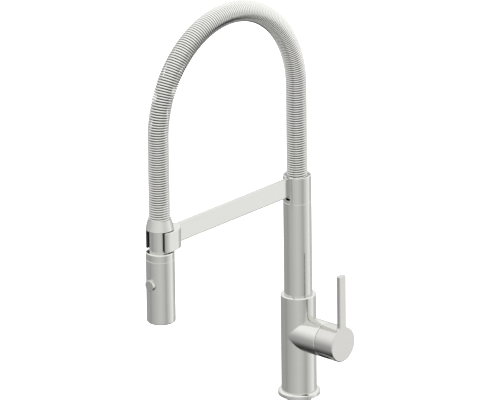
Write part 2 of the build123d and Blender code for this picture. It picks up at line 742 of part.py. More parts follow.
# ================================================================ arm sleeve, arm and holder
sleeve_screw_planes = arm_screw_planes(-spring_radius - 2 * fixed_gap, 1)
holder_screw_planes = arm_screw_planes(-reach + holder_slot_radius + fixed_gap, -1)

with BuildPart() as arm_sleeve:
    extrude(annulus(Plane.XY.offset(column_top), column_radius), amount=arm_top - column_top)
    seam_circle = arm_sleeve.faces().sort_by(Axis.Z)[0].edges()
    chamfer(seam_circle, length=seam_break)
    spigot_radius = column_bore_radius - fixed_gap
    spigot_plane = Plane.XY.offset(column_top - sleeve_spigot_length)
    extrude(annulus(spigot_plane, spigot_radius), amount=sleeve_spigot_length)
    bore_length = arm_top - column_top + sleeve_spigot_length
    bore = annulus(spigot_plane, spigot_radius - sleeve_spigot_wall)
    extrude(bore, amount=bore_length, mode=Mode.SUBTRACT)
    extrude(annulus(Plane.XY.offset(arm_bottom), sleeve_bore_radius), amount=arm_height, mode=Mode.SUBTRACT)
    chamfer(arm_sleeve.faces().sort_by(Axis.Z)[-1].edges(), length=sleeve_rim_chamfer)
    with BuildSketch(Plane.XZ):
        with Locations((0, arm_bottom + arm_height / 2)):
            Rectangle(arm_thickness + 2 * fixed_gap, arm_height)
        with Locations((0, arm_bottom - relief_height)):
            Rectangle(relief_width, relief_height)
    extrude(amount=column_radius, mode=Mode.SUBTRACT)

with BuildPart() as spring_socket:
    socket_ring_height = arm_height - socket_ring_top_drop
    socket_radius = sleeve_bore_radius - fixed_gap
    socket_face = annulus(Plane.XY.offset(socket_ring_bottom), socket_radius, socket_ring_hole_radius)
    extrude(socket_face, amount=socket_ring_height)
    spring_hole = annulus(Plane.XY.offset(spring_start), spring_radius + fixed_gap)
    extrude(spring_hole, amount=socket_ring_height, mode=Mode.SUBTRACT)
    for screw_plane in sleeve_screw_planes:
        add(arm_screw_hole(screw_plane), mode=Mode.SUBTRACT)

with BuildPart() as support_arm:
    arm_start = sleeve_bore_radius + fixed_gap
    arm_end = reach - arm_tenon_start - fixed_gap
    with BuildSketch(Plane.XZ.offset(arm_start)):
        with Locations((0, arm_bottom + arm_height / 2)):
            Rectangle(arm_thickness, arm_height)
    extrude(amount=arm_end - arm_start)
    fillet(support_arm.edges().filter_by(Axis.Y), radius=arm_edge_radius)
    for screw_plane in sleeve_screw_planes + holder_screw_planes:
        add(arm_screw_hole(screw_plane), mode=Mode.SUBTRACT)

with BuildPart() as holder_block:
    with BuildSketch(head_plane(arm_bottom)):
        with Locations((0, 0), (0, holder_back_centre)):
            Circle(holder_radius)
        with Locations((0, holder_back_centre / 2)):
            Rectangle(2 * holder_radius, holder_back_centre)
        with Locations((0, -holder_front)):
            align_front = (Align.CENTER, Align.MAX)
            Rectangle(2 * holder_radius, holder_radius, align=align_front, mode=Mode.SUBTRACT)
    extrude(amount=arm_height)
    chamfer(holder_block.faces().filter_by(Axis.Z).edges(), length=holder_edge_chamfer)
    holder_slot = slot_area(head_plane(arm_bottom), holder_slot_radius)
    extrude(holder_slot, amount=arm_height, mode=Mode.SUBTRACT)
    with BuildSketch(head_plane(arm_bottom)):
        with Locations((0, arm_tenon_start)):
            tenon_width = arm_thickness + 2 * fixed_gap
            Rectangle(tenon_width, holder_back, align=(Align.CENTER, Align.MIN))
    extrude(amount=arm_height, mode=Mode.SUBTRACT)
    for screw_plane in holder_screw_planes:
        add(arm_screw_hole(screw_plane), mode=Mode.SUBTRACT)

with BuildPart() as holder_liner:
    liner_plane = head_plane(arm_bottom + liner_inset)
    liner_height = arm_height - 2 * liner_inset
    extrude(slot_area(liner_plane, holder_slot_radius - fixed_gap), amount=liner_height)
    extrude(slot_area(liner_plane, liner_radius), amount=liner_height, mode=Mode.SUBTRACT)

with BuildPart() as arm_screws:
    for screw_plane in sleeve_screw_planes + holder_screw_planes:
        add(countersunk_screw(screw_plane))

# ================================================================ arch: spring, hose and hose ends
with BuildPart() as guard_spring:
    with Locations(*coil_planes()):
        Torus(coil_radius, spring_wire / 2)

with BuildPart() as inner_hose:
    hose_section = annulus(Plane.XY.offset(hose_start), hose_radius, hose_bore_radius)
    sweep(sections=hose_section, path=arch_route(hose_start, hose_end))

with BuildPart() as column_nipple:
    add(hose_nipple(Plane.XY.offset(column_bottom + spigot_plug_length)))

with BuildPart() as spray_nipple:
    add(hose_nipple(head_plane(neck_stem_top)))

crimp_inner_radius = hose_radius + fixed_gap
crimp_outer_radius = crimp_inner_radius + crimp_wall

with BuildPart() as column_crimp:
    extrude(annulus(Plane.XY.offset(hose_start), crimp_outer_radius, crimp_inner_radius), amount=crimp_length)

with BuildPart() as spray_crimp:
    extrude(annulus(head_plane(hose_end), crimp_outer_radius, crimp_inner_radius), amount=crimp_length)

# ================================================================ ferrule and neck
spray_axis = Axis((0, -reach, 0), (0, 0, 1))
spray_profile_plane = Plane(origin=(0, -reach, 0), x_dir=(1, 0, 0), z_dir=(0, -1, 0))

with BuildPart() as spring_ferrule:
    thread_radius = neck_stem_radius + fixed_gap
    mouth_radius = spring_radius + fixed_gap
    ferrule_points = [
        (thread_radius, ferrule_bottom),
        (ferrule_radius, ferrule_bottom),
        (ferrule_top_radius, ferrule_top),
        (mouth_radius, ferrule_top),
        (mouth_radius, ferrule_floor_top),
        (thread_radius, ferrule_floor_top),
    ]
    revolve(outline(spray_profile_plane, ferrule_points), axis=spray_axis)
    bottom_circles = spring_ferrule.faces().sort_by(Axis.Z)[0].edges()
    chamfer(bottom_circles.sort_by(SortBy.RADIUS)[-1], length=seam_break)

with BuildPart() as spray_neck:
    hose_thread_radius = nipple_thread_radius + fixed_gap
    neck_points = [
        (neck_bore_radius, neck_tail_bottom),
        (neck_tail_radius, neck_tail_bottom),
        (neck_tail_radius, neck_flange_bottom),
        (neck_flange_radius, neck_flange_bottom),
        (neck_flange_radius, neck_flange_top),
        (neck_radius, neck_flange_top),
        (neck_radius, ferrule_bottom),
        (neck_stem_radius, ferrule_bottom),
        (neck_stem_radius, neck_stem_top),
        (hose_thread_radius, neck_stem_top),
        (hose_thread_radius, neck_stem_top - nipple_thread_length),
        (neck_bore_radius, neck_stem_top - nipple_thread_length),
    ]
    revolve(outline(spray_profile_plane, neck_points), axis=spray_axis)
    groove = annulus(head_plane(neck_seal_height), neck_tail_radius, neck_tail_radius - seal_groove_depth)
    extrude(groove, amount=seal_groove_width, mode=Mode.SUBTRACT)

with BuildPart() as neck_seal:
    seal_outer = neck_tail_radius + running_gap - soft_gap
    seal_inner = neck_tail_radius - seal_groove_depth + fixed_gap
    seal_width = seal_groove_width - 2 * seal_slack
    add(seal_ring(head_plane(neck_seal_height + seal_slack), seal_outer, seal_inner, seal_width))

# ================================================================ spray head
with BuildPart() as spray_shell:
    extrude(annulus(head_plane(head_bottom), head_radius), amount=head_seam - head_bottom)
    chamfer(spray_shell.faces().sort_by(Axis.Z)[-1].edges(), length=seam_break)
    fillet(spray_shell.faces().sort_by(Axis.Z)[0].edges(), radius=head_bottom_rounding)
    shell_bore = annulus(head_plane(head_bottom), head_bore_radius)
    extrude(shell_bore, amount=head_seam - head_bottom, mode=Mode.SUBTRACT)
    button_hole = annulus(button_plane(0), button_radius + running_gap)
    extrude(button_hole, amount=head_radius, mode=Mode.SUBTRACT)

with BuildPart() as spray_collar:
    extrude(annulus(head_plane(head_seam), head_radius), amount=head_top - head_seam)
    chamfer(spray_collar.faces().sort_by(Axis.Z)[-1].edges(), length=collar_rim_chamfer)
    chamfer(spray_collar.faces().sort_by(Axis.Z)[0].edges(), length=seam_break)
    collar_foot = head_plane(head_seam - collar_spigot_length)
    extrude(annulus(collar_foot, head_bore_radius - head_insert_gap), amount=collar_spigot_length)
    cavity_height = head_top - collar_roof_thickness - head_seam + collar_spigot_length
    extrude(annulus(collar_foot, collar_cavity_radius), amount=cavity_height, mode=Mode.SUBTRACT)
    neck_hole = annulus(collar_foot, neck_radius + running_gap)
    extrude(neck_hole, amount=head_top - head_seam + collar_spigot_length, mode=Mode.SUBTRACT)

with BuildPart() as swivel_bearing:
    bearing_bottom = head_seam - collar_spigot_length - waterway_top_gap
    bearing_face = annulus(
        head_plane(bearing_bottom),
        collar_cavity_radius - fixed_gap,
        neck_tail_radius + running_gap,
    )
    extrude(bearing_face, amount=neck_flange_bottom - bearing_play - bearing_bottom)

with BuildPart() as spray_waterway:
    waterway_radius = head_bore_radius - head_insert_gap
    face_top = head_bottom + face_inset + face_thickness
    waterway_bottom = face_top + nozzle_ring_thickness
    waterway_top = bearing_bottom
    extrude(annulus(head_plane(waterway_bottom), waterway_radius), amount=waterway_top - waterway_bottom)
    # top: socket of the neck's tail and seat of the check valve
    socket_face = annulus(head_plane(waterway_top), neck_tail_radius + running_gap)
    extrude(socket_face, amount=-waterway_socket_depth, mode=Mode.SUBTRACT)
    valve_top = waterway_top - waterway_socket_depth
    valve_seat = annulus(head_plane(valve_top), check_valve_radius + fixed_gap)
    extrude(valve_seat, amount=-check_valve_length, mode=Mode.SUBTRACT)
    # middle channel, bore of the button's stem and the flat recess for its cap
    middle_channel = annulus(head_plane(waterway_bottom), channel_radius)
    extrude(middle_channel, amount=valve_top - waterway_bottom, mode=Mode.SUBTRACT)
    cap_back = button_face - button_cap_depth
    stem_bore_floor = cap_back - button_stem_length - button_spring_length
    stem_bore = annulus(button_plane(stem_bore_floor), button_stem_radius + running_gap)
    extrude(stem_bore, amount=head_radius - stem_bore_floor, mode=Mode.SUBTRACT)
    recess_floor = cap_back - button_travel - button_stop_gap
    cap_recess = annulus(button_plane(recess_floor), button_radius + button_stop_gap)
    extrude(cap_recess, amount=head_radius - recess_floor, mode=Mode.SUBTRACT)
    # side channel to the ring of nozzles
    ring_middle_radius = (waterway_ring_outer_radius + waterway_ring_inner_radius) / 2
    side_height = button_height - side_channel_drop
    side_plane = Plane(origin=(0, -reach, side_height), x_dir=(1, 0, 0), z_dir=(0, 1, 0))
    side_channel = annulus(side_plane, side_channel_radius)
    extrude(side_channel, amount=ring_middle_radius, mode=Mode.SUBTRACT)
    drop_plane = Plane(origin=(0, ring_middle_radius - reach, waterway_bottom))
    drop_channel = annulus(drop_plane, side_channel_radius)
    extrude(drop_channel, amount=side_height - waterway_bottom, mode=Mode.SUBTRACT)
    ring_channel = annulus(
        head_plane(waterway_bottom),
        waterway_ring_outer_radius,
        waterway_ring_inner_radius,
    )
    extrude(ring_channel, amount=waterway_ring_depth, mode=Mode.SUBTRACT)

with BuildPart() as check_valve:
    valve_face = annulus(head_plane(valve_top), check_valve_radius, check_valve_bore_radius)
    extrude(valve_face, amount=-check_valve_length)

with BuildPart() as spray_face:
    face_plane = head_plane(head_bottom + face_inset)
    extrude(annulus(face_plane, waterway_radius, aerator_radius + fixed_gap), amount=face_thickness)
    for circle_radius, nozzle_count in zip(nozzle_circle_radii, nozzle_counts):
        with BuildSketch(face_plane):
            with PolarLocations(circle_radius, nozzle_count):
                Circle(nozzle_radius + fixed_gap)
        extrude(amount=face_thickness, mode=Mode.SUBTRACT)

with BuildPart() as nozzle_ring:
    ring_face = annulus(head_plane(face_top), waterway_radius - fixed_gap, aerator_radius + fixed_gap)
    extrude(ring_face, amount=nozzle_ring_thickness)
    for circle_radius, nozzle_count in zip(nozzle_circle_radii, nozzle_counts):
        with BuildSketch(head_plane(face_top)):
            with PolarLocations(circle_radius, nozzle_count):
                Circle(nozzle_radius)
        extrude(amount=-face_thickness - nozzle_stick_out)
        with BuildSketch(head_plane(face_top + nozzle_ring_thickness)):
            with PolarLocations(circle_radius, nozzle_count):
                Circle(nozzle_bore_radius)
        tip_length = nozzle_ring_thickness + face_thickness + nozzle_stick_out
        extrude(amount=-tip_length, mode=Mode.SUBTRACT)

with BuildPart() as aerator:
    aerator_height = waterway_bottom - head_bottom - face_inset
    extrude(annulus(face_plane, aerator_radius), amount=aerator_height)
    aerator_cavity = annulus(face_plane.offset(aerator_floor_thickness), aerator_radius - aerator_wall)
    extrude(aerator_cavity, amount=aerator_height, mode=Mode.SUBTRACT)
    with BuildSketch(face_plane):
        Circle(aerator_hole_radius)
        for hole_ring in range(1, aerator_ring_count + 1):
            with PolarLocations(hole_ring * aerator_hole_pitch, hole_ring * aerator_ring_step):
                Circle(aerator_hole_radius)
    extrude(amount=aerator_floor_thickness, mode=Mode.SUBTRACT)

# ================================================================ diverter button
with BuildPart() as diverter_button:
    extrude(annulus(button_plane(button_face), button_radius), amount=-button_cap_depth)
    chamfer(diverter_button.faces().sort_by(Axis.Y)[0].edges(), length=button_face_chamfer)
    extrude(annulus(button_plane(cap_back), button_stem_radius), amount=-button_stem_length)
    button_groove = button_plane(cap_back - button_seal_place)
    groove = annulus(button_groove, button_stem_radius, button_stem_radius - button_seal_depth)
    extrude(groove, amount=-button_seal_width, mode=Mode.SUBTRACT)

with BuildPart() as button_seal:
    seal_outer = button_stem_radius + running_gap - soft_gap
    seal_inner = button_stem_radius - button_seal_depth + fixed_gap
    seal_width = button_seal_width - 2 * seal_slack
    seal_foot = button_groove.offset(seal_slack - button_seal_width)
    add(seal_ring(seal_foot, seal_outer, seal_inner, seal_width))

with BuildPart() as button_spring:
    spring_foot = button_plane(stem_bore_floor)
    coil = annulus(spring_foot, button_spring_radius, button_spring_radius - button_spring_wire)
    extrude(coil, amount=button_spring_length)

# ================================================================ write the pieces
pieces = {
    "base_flange": base_flange,
    "base_gasket": base_gasket,
    "mounting_shank": mounting_shank,
    "deck_washer": deck_washer,
    "clamp_washer": clamp_washer,
    "mounting_nut": mounting_nut,
    "clamp_screws": clamp_screws,
    "body_casting": body_casting,
    "column_lock_screw": column_lock_screw,
    "thrust_washer": thrust_washer,
    "cartridge_base": cartridge_base,
    "cartridge_seals": cartridge_seals,
    "fixed_disc": fixed_disc,
    "moving_disc": moving_disc,
    "cartridge_housing": cartridge_housing,
    "stem_carrier": stem_carrier,
    "pivot_pin": pivot_pin,
    "cartridge_stem": cartridge_stem,
    "retaining_nut": retaining_nut,
    "trim_dome": trim_dome,
    "handle": handle,
    "handle_set_screw": handle_set_screw,
    "handle_plug": handle_plug,
    "swivel_spigot": swivel_spigot,
    "spigot_seals": spigot_seals,
    "column_tube": column_tube,
    "arm_sleeve": arm_sleeve,
    "spring_socket": spring_socket,
    "support_arm": support_arm,
    "holder_block": holder_block,
    "holder_liner": holder_liner,
    "arm_screws": arm_screws,
    "guard_spring": guard_spring,
    "inner_hose": inner_hose,
    "column_nipple": column_nipple,
    "column_crimp": column_crimp,
    "spray_nipple": spray_nipple,
    "spray_crimp": spray_crimp,
    "spring_ferrule": spring_ferrule,
    "spray_neck": spray_neck,
    "neck_seal": neck_seal,
    "spray_shell": spray_shell,
    "spray_collar": spray_collar,
    "swivel_bearing": swivel_bearing,
    "spray_waterway": spray_waterway,
    "check_valve": check_valve,
    "spray_face": spray_face,
    "nozzle_ring": nozzle_ring,
    "aerator": aerator,
    "diverter_button": diverter_button,
    "button_seal": button_seal,
    "button_spring": button_spring,
}

os.makedirs("parts", exist_ok=True)
for label, piece in pieces.items():
    piece.part.label = label
    export_step(piece.part, f"parts/{label}.step")
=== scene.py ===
"""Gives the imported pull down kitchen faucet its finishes, its coil spring, its hose and a studio.

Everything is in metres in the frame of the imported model: +Z is up, the base stands on the worktop
at the origin, the spray hangs towards -Y and the lever points towards +X.
"""
import json
import logging
import math
from dataclasses import dataclass, field
from enum import Enum
from typing import Any

import bmesh
import bpy
from mathutils import Euler, Matrix, Vector


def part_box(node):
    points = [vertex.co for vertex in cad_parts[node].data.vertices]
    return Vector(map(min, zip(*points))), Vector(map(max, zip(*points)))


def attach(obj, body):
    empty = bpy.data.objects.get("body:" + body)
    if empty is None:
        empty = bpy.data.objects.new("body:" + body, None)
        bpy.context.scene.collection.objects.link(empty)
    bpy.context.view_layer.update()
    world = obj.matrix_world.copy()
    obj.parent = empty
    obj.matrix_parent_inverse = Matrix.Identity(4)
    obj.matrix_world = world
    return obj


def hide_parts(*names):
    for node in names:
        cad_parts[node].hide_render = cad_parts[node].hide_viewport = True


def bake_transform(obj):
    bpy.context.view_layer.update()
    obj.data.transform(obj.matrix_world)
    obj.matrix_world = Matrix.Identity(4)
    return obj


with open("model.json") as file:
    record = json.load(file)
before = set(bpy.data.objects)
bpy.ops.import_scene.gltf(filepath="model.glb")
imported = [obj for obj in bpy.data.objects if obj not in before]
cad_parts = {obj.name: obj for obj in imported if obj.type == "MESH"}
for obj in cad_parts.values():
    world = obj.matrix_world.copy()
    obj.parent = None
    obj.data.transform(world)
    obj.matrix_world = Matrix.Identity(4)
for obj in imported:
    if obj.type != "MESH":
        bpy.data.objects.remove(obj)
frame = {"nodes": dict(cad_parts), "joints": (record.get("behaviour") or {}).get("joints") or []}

LOG = logging.getLogger("kitchen_faucet")
MM = 0.001
FULL_TURN = 360.0
MIDDLE = 0.5
STRAIGHT = "straight_place"
Colour = tuple[float, float, float]
Band = tuple[float, float]


# --- Node graphs ---------------------------------------------------------------------------------


class Value:
    """A number that varies over a surface, so that shader maths reads as an expression."""

    def __init__(self, graph: "NodeGraph", socket: bpy.types.NodeSocket) -> None:
        """Wraps a socket.

        Args:
            graph: The graph that the socket belongs to.
            socket: The output socket that gives the number.
        """
        self.graph = graph
        self.socket = socket

    def _maths(self, operation: str, *terms: "Value | float") -> "Value":
        """Adds one Math node.

        Args:
            operation: The Math node's operation.
            terms: What goes into its sockets, in order.

        Returns:
            The node's result.
        """
        sockets = dict(enumerate(terms))
        return self.graph.value("ShaderNodeMath", {"operation": operation}, sockets)

    def __add__(self, other: "Value | float") -> "Value":
        """Returns this plus other."""
        return self._maths("ADD", self, other)

    def __radd__(self, other: float) -> "Value":
        """Returns other plus this."""
        return self._maths("ADD", other, self)

    def __sub__(self, other: "Value | float") -> "Value":
        """Returns this minus other."""
        return self._maths("SUBTRACT", self, other)

    def __rsub__(self, other: float) -> "Value":
        """Returns other minus this."""
        return self._maths("SUBTRACT", other, self)

    def __mul__(self, other: "Value | float") -> "Value":
        """Returns this times other."""
        return self._maths("MULTIPLY", self, other)

    def __rmul__(self, other: float) -> "Value":
        """Returns other times this."""
        return self._maths("MULTIPLY", other, self)

    def __truediv__(self, other: "Value | float") -> "Value":
        """Returns this divided by other."""
        return self._maths("DIVIDE", self, other)

    def wave(self) -> "Value":
        """Returns the sine of this, in radians."""
        return self._maths("SINE", self)

    def bearing(self, sideways: "Value") -> "Value":
        """Returns the angle whose tangent is this over sideways."""
        return self._maths("ARCTAN2", self, sideways)

    def eased(self, low: float, high: float) -> "Value":
        """Turns this into a smooth step.

        Args:
            low: Where the step starts, at 0.
            high: Where it ends, at 1.

        Returns:
            The step.
        """
        settings = {"interpolation_type": "SMOOTHSTEP"}
        sockets = {"Value": self, "From Min": low, "From Max": high}
        return self.graph.value("ShaderNodeMapRange", settings, sockets, "Result")


Input = Value | bpy.types.NodeSocket | float | tuple[float, ...]


class NodeGraph:
    """The nodes of one material or of the world."""

    def __init__(self, tree: bpy.types.NodeTree) -> None:
        """Empties the tree.

        Args:
            tree: The node tree to build.
        """
        self.tree = tree
        tree.nodes.clear()

    def node(
        self,
        kind: str,
        settings: dict[str, Any] | None = None,
        sockets: dict[str | int, Input] | None = None,
    ) -> bpy.types.Node:
        """Adds a node: its settings first, then the values and links of its sockets.

        Args:
            kind: The node's type.
            settings: The node's own settings, and a ramp's stops as (place, colour) pairs.
            sockets: What goes into each input, by the input's name or number.

        Returns:
            The node.
        """
        made = self.tree.nodes.new(kind)
        for name, setting in (settings or {}).items():
            if name == "stops":
                self._stops(made.color_ramp, setting)
            else:
                setattr(made, name, setting)
        for name, value in (sockets or {}).items():
            socket = self._open(made.inputs, name)
            value = value.socket if isinstance(value, Value) else value
            if isinstance(value, bpy.types.NodeSocket):
                self.tree.links.new(value, socket)
            else:
                socket.default_value = value
        return made

    @staticmethod
    def _stops(ramp: bpy.types.ColorRamp, stops: list[tuple[float, Colour]]) -> None:
        """Gives a ramp its stops.

        Args:
            ramp: The ramp, which has two elements at first.
            stops: Each stop's place, from 0 to 1, and its colour.
        """
        for place, _ in stops[2:]:
            ramp.elements.new(place)
        for element, (place, colour) in zip(ramp.elements, stops):
            element.position = place
            element.color = (*colour, 1.0)

    @staticmethod
    def _open(sockets: Any, name: str | int) -> bpy.types.NodeSocket:
        """Finds a socket that the node's settings leave in use.

        Args:
            sockets: The node's inputs or outputs.
            name: The socket's name or number.

        Returns:
            The socket.
        """
        if isinstance(name, int):
            return sockets[name]
        return next(socket for socket in sockets if socket.enabled and socket.name == name)

    def output(
        self,
        kind: str,
        settings: dict[str, Any] | None = None,
        sockets: dict[str | int, Input] | None = None,
        name: str | int = 0,
    ) -> bpy.types.NodeSocket:
        """Adds a node and gives one of its outputs.

        Args:
            kind: The node's type.
            settings: The node's own settings.
            sockets: What goes into each input.
            name: The output's name or number.

        Returns:
            The output socket.
        """
        return self._open(self.node(kind, settings, sockets).outputs, name)

    def value(
        self,
        kind: str,
        settings: dict[str, Any] | None = None,
        sockets: dict[str | int, Input] | None = None,
        name: str | int = 0,
    ) -> Value:
        """Adds a node and gives one of its outputs as a number for sums, as output does."""
        return Value(self, self.output(kind, settings, sockets, name))

    def place(self) -> bpy.types.NodeSocket:
        """Returns the place on the piece, in the model's frame."""
        return self.output("ShaderNodeTexCoord", name="Object")

    def straight_place(self) -> bpy.types.NodeSocket:
        """Returns the place on a bent piece from before it was bent."""
        settings = {"attribute_name": STRAIGHT}
        return self.output("ShaderNodeAttribute", settings, name="Vector")

    def axes(self, place: bpy.types.NodeSocket) -> tuple[Value, Value, Value]:
        """Splits a place into its three numbers.

        Args:
            place: The place.

        Returns:
            Its X, Y and Z.
        """
        split = self.node("ShaderNodeSeparateXYZ", sockets={"Vector": place})
        return tuple(Value(self, socket) for socket in split.outputs)

    def noise(
        self, place: bpy.types.NodeSocket, scale: float | Colour, detail: float = 2.0
    ) -> Value:
        """Adds noise round 0.

        Args:
            place: Where it is read.
            scale: How many times it changes in a metre, or that along each axis.
            detail: How many finer layers lie over it.

        Returns:
            The noise, mostly from -0.25 to 0.25.
        """
        scales = scale if isinstance(scale, tuple) else (scale, scale, scale)
        stretched = self.output("ShaderNodeMapping", sockets={"Vector": place, "Scale": scales})
        sockets = {"Vector": stretched, "Scale": 1.0, "Detail": detail}
        return self.value("ShaderNodeTexNoise", sockets=sockets) - MIDDLE

    def blend(self, share: Value, first: Colour, second: Colour) -> bpy.types.NodeSocket:
        """Mixes two colours.

        Args:
            share: How much of the second there is.
            first: The colour at 0.
            second: The colour at 1.

        Returns:
            The mixed colour.
        """
        settings = {"data_type": "RGBA", "clamp_factor": True}
        sockets = {"Factor": share, "A": (*first, 1.0), "B": (*second, 1.0)}
        return self.output("ShaderNodeMix", settings, sockets, "Result")

    def relief(self, height: Value, depth: float) -> bpy.types.NodeSocket:
        """Turns a height into a fine relief.

        Args:
            height: The height, in units of depth.
            depth: How deep one unit is, in metres.

        Returns:
            The normal.
        """
        sockets = {"Strength": 1.0, "Distance": depth, "Height": height}
        return self.output("ShaderNodeBump", sockets=sockets)

    def surface(self, **sockets: Input) -> None:
        """Ends the graph in a Principled shader.

        Args:
            sockets: What goes into it, by its inputs' names with _ for a space.
        """
        named = {name.replace("_", " "): value for name, value in sockets.items()}
        shader = self.output("ShaderNodeBsdfPrincipled", sockets=named)
        self.node("ShaderNodeOutputMaterial", sockets={"Surface": shader})


# --- Finishes ------------------------------------------------------------------------------------


class Grain(Enum):
    """Which way the fine lines of a worked metal run, as how fast it changes along each axis."""

    ROUND_UPRIGHT = (30.0, 30.0, 2600.0)
    ROUND_LEVER = (2600.0, 30.0, 30.0)
    ALONG_ARM = (1800.0, 24.0, 1800.0)
    ALONG_LEVER = (1800.0, 1800.0, 24.0)
    EVEN = (900.0, 900.0, 900.0)


@dataclass(frozen=True)
class Finish:
    """One finish of the faucet, made into a material the first time it is used."""

    name: str

    def material(self) -> bpy.types.Material:
        """Returns the finish's material."""
        known = bpy.data.materials.get(self.name)
        if known is not None:
            return known
        made = bpy.data.materials.new(self.name)
        made.use_nodes = True
        self.paint(NodeGraph(made.node_tree))
        return made

    def paint(self, graph: NodeGraph) -> None:
        """Builds the finish's nodes.

        Args:
            graph: The empty graph of the material.
        """
        raise NotImplementedError


@dataclass(frozen=True)
class WorkedMetal(Finish):
    """Metal with the fine lines of turning or brushing, and faint smears from handling."""

    bright: Colour = (0.72, 0.722, 0.692)
    dull: Colour = (0.66, 0.662, 0.634)
    grain: Grain = Grain.ROUND_UPRIGHT
    roughness: float = 0.14
    line_share: float = 0.10
    smear_share: float = 0.06
    smear_tone: float = 0.5
    smear_scale: float = 26.0
    line_detail: float = 3.0
    smear_detail: float = 4.0
    line_depth: float = 0.0012 * MM

    def paint(self, graph: NodeGraph) -> None:
        """Lines change the roughness, tone and relief; smears change the roughness."""
        place = graph.place()
        lines = graph.noise(place, self.grain.value, self.line_detail)
        smears = graph.noise(place, self.smear_scale, self.smear_detail)
        tone = MIDDLE + lines + smears * self.smear_tone
        graph.surface(
            Base_Color=graph.blend(tone, self.dull, self.bright),
            Metallic=1.0,
            Roughness=self.roughness + lines * self.line_share + smears * self.smear_share,
            Normal=graph.relief(lines, self.line_depth),
        )


@dataclass(frozen=True)
class Brass(Finish):
    """Turned brass, a little browner where it has dulled."""

    fresh: Colour = (0.83, 0.63, 0.33)
    dulled: Colour = (0.52, 0.37, 0.20)
    grain: Grain = Grain.ROUND_UPRIGHT
    roughness: float = 0.2
    dull_share: float = 0.2
    line_share: float = 0.1
    line_detail: float = 3.0
    line_depth: float = 0.002 * MM
    patch_scale: float = 120.0
    patch_detail: float = 5.0
    patch_lines: float = 0.3
    patch_edge: Band = (-0.05, 0.22)

    def paint(self, graph: NodeGraph) -> None:
        """Dull patches have their own tone and are rougher than the fresh metal."""
        place = graph.place()
        lines = graph.noise(place, self.grain.value, self.line_detail)
        patches = graph.noise(place, self.patch_scale, self.patch_detail)
        dull = (patches + lines * self.patch_lines).eased(*self.patch_edge)
        graph.surface(
            Base_Color=graph.blend(dull, self.fresh, self.dulled),
            Metallic=1.0,
            Roughness=self.roughness + dull * self.dull_share + lines * self.line_share,
            Normal=graph.relief(lines, self.line_depth),
        )


@dataclass(frozen=True)
class Moulded(Finish):
    """Rubber or plastic with the fine skin of its mould."""

    colour: Colour = (0.02, 0.02, 0.021)
    worn: Colour = (0.035, 0.035, 0.036)
    roughness: float = 0.5
    skin_scale: float = 3500.0
    skin_depth: float = 0.008 * MM
    skin_share: float = 0.1
    wear_scale: float = 60.0
    wear_detail: float = 5.0
    wear_share: float = 0.15
    wear_tone: float = 1.6

    def paint(self, graph: NodeGraph) -> None:
        """The skin is fine noise; wear shows as a lighter tone and less gloss."""
        place = graph.place()
        skin = graph.noise(place, self.skin_scale)
        wear = graph.noise(place, self.wear_scale, self.wear_detail)
        graph.surface(
            Base_Color=graph.blend(MIDDLE + wear * self.wear_tone, self.colour, self.worn),
            Roughness=self.roughness + wear * self.wear_share + skin * self.skin_share,
            Normal=graph.relief(skin, self.skin_depth),
        )


@dataclass(frozen=True)
class BraidedSleeve(Finish):
    """The dark woven sleeve of the hose: flat strands that cross over and under each other."""

    strand: Colour = (0.03, 0.03, 0.032)
    gap: Colour = (0.006, 0.006, 0.006)
    starts: int = 16
    lay: float = 24.0 * MM
    gap_edge: Band = (-0.8, 0.5)
    roughness: float = 0.5
    strand_share: float = 0.12
    strand_depth: float = 0.18 * MM

    def paint(self, graph: NodeGraph) -> None:
        """Two sets of slanting strands cross; where neither lies, the gap is dark."""
        across, outward, along = graph.axes(graph.straight_place())
        round_hose = across.bearing(outward) * self.starts
        slant = along * (math.tau * self.starts / 2 / self.lay)
        left = (round_hose + slant).wave()
        right = (round_hose - slant).wave()
        weave = left * right
        graph.surface(
            Base_Color=graph.blend(weave.eased(*self.gap_edge), self.gap, self.strand),
            Roughness=self.roughness - weave * self.strand_share,
            Normal=graph.relief(weave, self.strand_depth),
        )


@dataclass(frozen=True)
class PaleFloor(Finish):
    """The plain pale floor of the studio, lit so evenly that it shows no edge."""

    colour: Colour = (0.8, 0.8, 0.8)
    glow_colour: Colour = (1.0, 1.0, 1.0)
    glow: float = 0.95

    def paint(self, graph: NodeGraph) -> None:
        """A matt white with a glow of its own."""
        graph.surface(
            Base_Color=(*self.colour, 1.0),
            Roughness=1.0,
            Emission_Color=(*self.glow_colour, 1.0),
            Emission_Strength=self.glow,
        )


SATIN_ROUND = WorkedMetal("satin_steel_turned")
# The handle is the same satin steel as the rest with darker tones: the darker tone is painted
# shade, and only the grain round the lever is its own.
SATIN_LEVER_PAINTED_SHADE = WorkedMetal(
    "satin_steel_handle",
    bright=(0.64, 0.635, 0.615),
    dull=(0.59, 0.585, 0.565),
    grain=Grain.ROUND_LEVER,
)
SATIN_ARM = WorkedMetal("satin_steel_brushed_arm", grain=Grain.ALONG_ARM)
# The wire's tones are lighter than the other steel's to paint brighter highlights on its turns; its
# lower roughness is its own gloss.
SPRING_WIRE_PAINTED_HIGHLIGHT = WorkedMetal(
    "spring_wire",
    bright=(0.80, 0.80, 0.775),
    dull=(0.75, 0.75, 0.725),
    grain=Grain.EVEN,
    roughness=0.10,
    line_depth=0.0006 * MM,
)
PLATED = WorkedMetal(
    "plated_steel",
    bright=(0.66, 0.67, 0.68),
    dull=(0.50, 0.51, 0.52),
    grain=Grain.EVEN,
    roughness=0.26,
)
CHROME = WorkedMetal(
    "bright_chrome",
    bright=(0.80, 0.81, 0.82),
    dull=(0.76, 0.77, 0.78),
    grain=Grain.ROUND_LEVER,
    roughness=0.06,
    line_share=0.02,
    line_depth=0.0003 * MM,
)
BRASS_UPRIGHT = Brass("turned_brass")
BRASS_LEVER = Brass("turned_brass_valve", grain=Grain.ROUND_LEVER)
RUBBER = Moulded("black_rubber", roughness=0.62)
BLACK_PLASTIC = Moulded("black_acetal", colour=(0.012, 0.012, 0.013), roughness=0.36)
